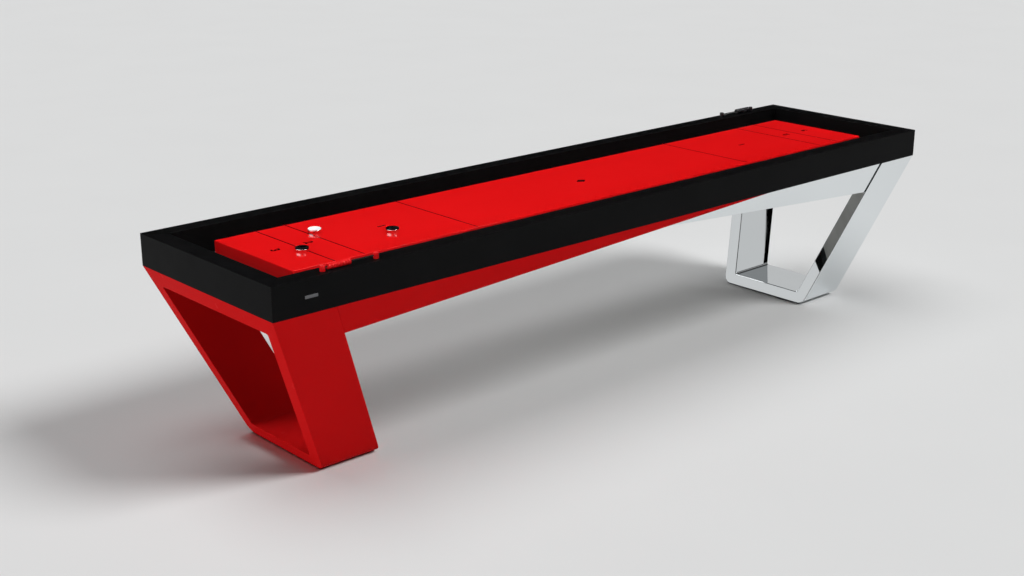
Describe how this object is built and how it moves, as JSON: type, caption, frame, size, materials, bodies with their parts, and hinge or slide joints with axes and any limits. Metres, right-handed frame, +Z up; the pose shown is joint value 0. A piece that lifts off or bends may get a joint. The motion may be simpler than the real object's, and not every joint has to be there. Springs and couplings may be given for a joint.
{
  "type": "shuffleboard table",
  "caption": "Long table shuffleboard: raised red playing board in a black cabinet, slanted red and mirror leg frames, rail bead scorers and sliding weights.",
  "frame": {"origin": "on the floor under the middle of the table", "axes": "+X along the table from the red leg frame towards the mirror-polished one, +Z up, -Y the near long side"},
  "size_m": [3.658, 0.864, 0.8365],
  "materials": {
    "black_lacquer": "satin black lacquer",
    "plywood": "plywood with a grey sealing coat",
    "gutter_carpet": "short black pile",
    "playing_surface": "gloss red resin",
    "badge_steel": "satin, blank",
    "red_lacquer": "gloss red lacquer",
    "mirror_steel": "mirror-polished steel",
    "foot_rubber": "moulded black rubber on a steel stem",
    "rod_steel": "blackened steel rod",
    "scorer_red": "gloss red",
    "scorer_charcoal": "gloss charcoal",
    "weight_chrome": "polished",
    "cap_white": "gloss white",
    "cap_black": "gloss black"
  },
  "bodies": {
    "table": {"badge_far": "badge_steel", "badge_near": "badge_steel", "board_bearer_left": "plywood", "board_bearer_middle": "plywood", "board_bearer_right": "plywood", "cabinet_floor": "plywood", "far_scorer_post_inner": "scorer_charcoal", "far_scorer_post_outer": "scorer_charcoal", "far_scorer_rod": "rod_steel", "gutter_carpet_far": "gutter_carpet", "gutter_carpet_left_end": "gutter_carpet", "gutter_carpet_near": "gutter_carpet", "gutter_carpet_right_end": "gutter_carpet", "mirror_leg_base": "mirror_steel", "mirror_leg_side_far": "mirror_steel", "mirror_leg_side_near": "mirror_steel", "mirror_leg_top_bar": "mirror_steel", "mirror_skirt_far": "mirror_steel", "mirror_skirt_near": "mirror_steel", "near_scorer_post_inner": "scorer_red", "near_scorer_post_outer": "scorer_red", "near_scorer_rod": "rod_steel", "playing_board": "playing_surface", "rail_far": "black_lacquer", "rail_left_end": "black_lacquer", "rail_near": "black_lacquer", "rail_right_end": "black_lacquer", "red_leg_base": "red_lacquer", "red_leg_side_far": "red_lacquer", "red_leg_side_near": "red_lacquer", "red_leg_top_bar": "red_lacquer", "red_skirt_far": "red_lacquer", "red_skirt_near": "red_lacquer"},
    "near_bead_1": {"near_scorer_bead_1": "scorer_red"},
    "near_bead_2": {"near_scorer_bead_2": "scorer_red"},
    "near_bead_3": {"near_scorer_bead_3": "scorer_red"},
    "near_bead_4": {"near_scorer_bead_4": "scorer_red"},
    "near_bead_5": {"near_scorer_bead_5": "scorer_red"},
    "near_bead_6": {"near_scorer_bead_6": "scorer_red"},
    "near_bead_7": {"near_scorer_bead_7": "scorer_red"},
    "near_bead_8": {"near_scorer_bead_8": "scorer_red"},
    "far_bead_1": {"far_scorer_bead_1": "scorer_charcoal"},
    "far_bead_2": {"far_scorer_bead_2": "scorer_charcoal"},
    "far_bead_3": {"far_scorer_bead_3": "scorer_charcoal"},
    "far_bead_4": {"far_scorer_bead_4": "scorer_charcoal"},
    "far_bead_5": {"far_scorer_bead_5": "scorer_charcoal"},
    "far_bead_6": {"far_scorer_bead_6": "scorer_charcoal"},
    "far_bead_7": {"far_scorer_bead_7": "scorer_charcoal"},
    "far_bead_8": {"far_scorer_bead_8": "scorer_charcoal"},
    "white_weight": {"white_weight_body": "weight_chrome"},
    "white_weight_cap": {"white_weight_cap": "cap_white"},
    "black_weight_1": {"black_weight_1_body": "weight_chrome"},
    "black_weight_1_cap": {"black_weight_1_cap": "cap_black"},
    "black_weight_2": {"black_weight_2_body": "weight_chrome"},
    "black_weight_2_cap": {"black_weight_2_cap": "cap_black"},
    "red_foot_near": {"red_foot_near": "foot_rubber"},
    "red_foot_far": {"red_foot_far": "foot_rubber"},
    "mirror_foot_near": {"mirror_foot_near": "foot_rubber"},
    "mirror_foot_far": {"mirror_foot_far": "foot_rubber"}
  },
  "joints": [
    {"name": "near_bead_1_slide", "type": "slide", "parent": "table", "child": "near_bead_1", "axis": [1, 0, 0], "range_m": [-0.0085, 0.0123]},
    {"name": "near_bead_2_slide", "type": "slide", "parent": "near_bead_1", "child": "near_bead_2", "axis": [1, 0, 0], "range_m": [0, 0.0123]},
    {"name": "near_bead_3_slide", "type": "slide", "parent": "near_bead_2", "child": "near_bead_3", "axis": [1, 0, 0], "range_m": [0, 0.0123]},
    {"name": "near_bead_4_slide", "type": "slide", "parent": "near_bead_3", "child": "near_bead_4", "axis": [1, 0, 0], "range_m": [0, 0.0123]},
    {"name": "near_bead_5_slide", "type": "slide", "parent": "near_bead_4", "child": "near_bead_5", "axis": [1, 0, 0], "range_m": [0, 0.0123]},
    {"name": "near_bead_6_slide", "type": "slide", "parent": "near_bead_5", "child": "near_bead_6", "axis": [1, 0, 0], "range_m": [0, 0.0123]},
    {"name": "near_bead_7_slide", "type": "slide", "parent": "near_bead_6", "child": "near_bead_7", "axis": [1, 0, 0], "range_m": [0, 0.0123]},
    {"name": "near_bead_8_slide", "type": "slide", "parent": "near_bead_7", "child": "near_bead_8", "axis": [1, 0, 0], "range_m": [0, 0.0123]},
    {"name": "far_bead_1_slide", "type": "slide", "parent": "table", "child": "far_bead_1", "axis": [-1, 0, 0], "range_m": [-0.0085, 0.0123]},
    {"name": "far_bead_2_slide", "type": "slide", "parent": "far_bead_1", "child": "far_bead_2", "axis": [-1, 0, 0], "range_m": [0, 0.0123]},
    {"name": "far_bead_3_slide", "type": "slide", "parent": "far_bead_2", "child": "far_bead_3", "axis": [-1, 0, 0], "range_m": [0, 0.0123]},
    {"name": "far_bead_4_slide", "type": "slide", "parent": "far_bead_3", "child": "far_bead_4", "axis": [-1, 0, 0], "range_m": [0, 0.0123]},
    {"name": "far_bead_5_slide", "type": "slide", "parent": "far_bead_4", "child": "far_bead_5", "axis": [-1, 0, 0], "range_m": [0, 0.0123]},
    {"name": "far_bead_6_slide", "type": "slide", "parent": "far_bead_5", "child": "far_bead_6", "axis": [-1, 0, 0], "range_m": [0, 0.0123]},
    {"name": "far_bead_7_slide", "type": "slide", "parent": "far_bead_6", "child": "far_bead_7", "axis": [-1, 0, 0], "range_m": [0, 0.0123]},
    {"name": "far_bead_8_slide", "type": "slide", "parent": "far_bead_7", "child": "far_bead_8", "axis": [-1, 0, 0], "range_m": [0, 0.0123]},
    {"name": "white_weight_slide", "type": "slide", "parent": "table", "child": "white_weight", "axis": [1, 0, 0], "range_m": [-0.3, 2.88]},
    {"name": "white_weight_cap_turn", "type": "hinge", "parent": "white_weight", "child": "white_weight_cap", "pos_m": [-1.293, 0.098, 0.8], "axis": [0, 0, 1], "range_deg": [0, 360]},
    {"name": "black_weight_1_slide", "type": "slide", "parent": "table", "child": "black_weight_1", "axis": [1, 0, 0], "range_m": [-0.13, 0.16]},
    {"name": "black_weight_1_cap_turn", "type": "hinge", "parent": "black_weight_1", "child": "black_weight_1_cap", "pos_m": [-1.468, -0.077, 0.8], "axis": [0, 0, 1], "range_deg": [0, 360]},
    {"name": "black_weight_2_slide", "type": "slide", "parent": "table", "child": "black_weight_2", "axis": [1, 0, 0], "range_m": [-0.16, 2.66]},
    {"name": "black_weight_2_cap_turn", "type": "hinge", "parent": "black_weight_2", "child": "black_weight_2_cap", "pos_m": [-1.072, -0.089, 0.8], "axis": [0, 0, 1], "range_deg": [0, 360]},
    {"name": "red_foot_near_screw_out", "type": "slide", "parent": "table", "child": "red_foot_near", "axis": [0, 0, -1], "range_m": [0, 0.012]},
    {"name": "red_foot_far_screw_out", "type": "slide", "parent": "table", "child": "red_foot_far", "axis": [0, 0, -1], "range_m": [0, 0.012]},
    {"name": "mirror_foot_near_screw_out", "type": "slide", "parent": "table", "child": "mirror_foot_near", "axis": [0, 0, -1], "range_m": [0, 0.012]},
    {"name": "mirror_foot_far_screw_out", "type": "slide", "parent": "table", "child": "mirror_foot_far", "axis": [0, 0, -1], "range_m": [0, 0.012]}
  ]
}
